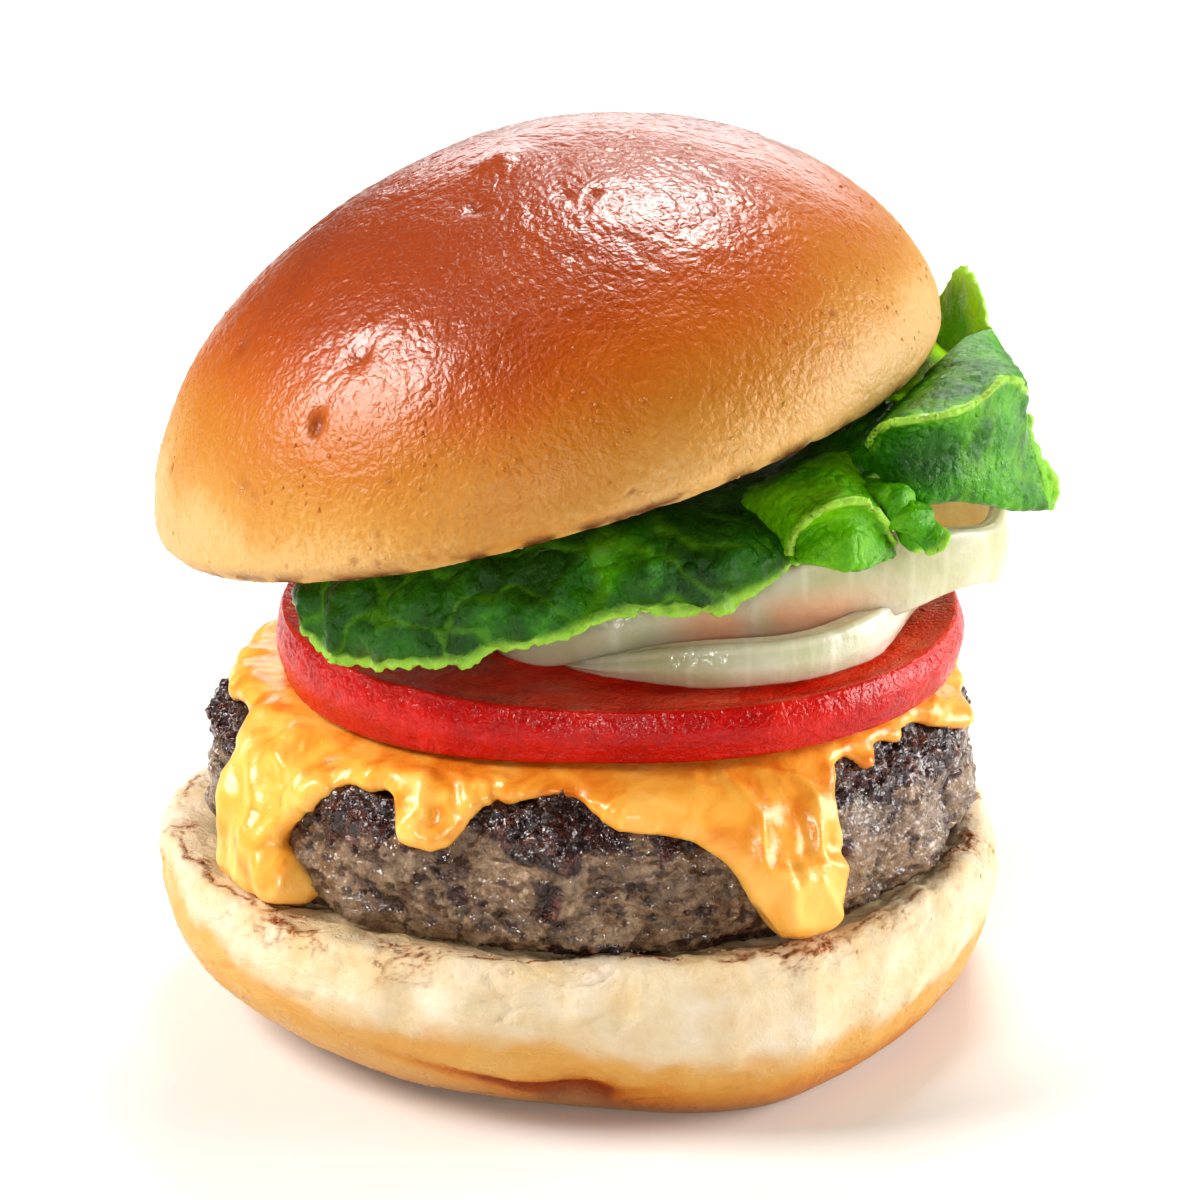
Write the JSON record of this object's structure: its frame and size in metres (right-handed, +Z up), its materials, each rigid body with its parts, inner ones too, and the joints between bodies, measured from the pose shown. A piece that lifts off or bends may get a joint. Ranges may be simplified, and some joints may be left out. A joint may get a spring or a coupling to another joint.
{
  "type": "cheeseburger",
  "caption": "Tall burger in a round split bun: craggy beef patty, melted cheese with drips, tomato slice, onion rings and curly lettuce, with the bun crown tipped up at one side.",
  "frame": {"origin": "middle of the bun heel's flat foot, on the surface that the burger stands on", "axes": "+Z up through the stack, -Y towards the front with the big cheese drip, +X towards the side where the crown is tipped up"},
  "size_m": [0.1061, 0.0995, 0.1066],
  "materials": {
    "bun_heel": "toasted cream crumb over a golden baked crust, matt",
    "beef": "seared ground meat, moist and craggy",
    "cheese": "melted cheese, glossy",
    "tomato": "wet cut tomato and skin",
    "onion": "raw onion, moist and translucent",
    "lettuce": "crisp leaf, waxy sheen",
    "bun_crown": "glazed baked crust, glossy on top and matt at the rim"
  },
  "bodies": {
    "root": {"bun_heel": "bun_heel", "beef_patty": "beef", "melted_cheese": "cheese", "tomato_slice": "tomato", "onion_ring_lower": "onion", "onion_ring_upper": "onion", "lettuce_leaf_front": "lettuce", "lettuce_leaf_right": "lettuce", "lettuce_leaf_tall": "lettuce", "bun_crown": "bun_crown"}
  },
  "joints": []
}
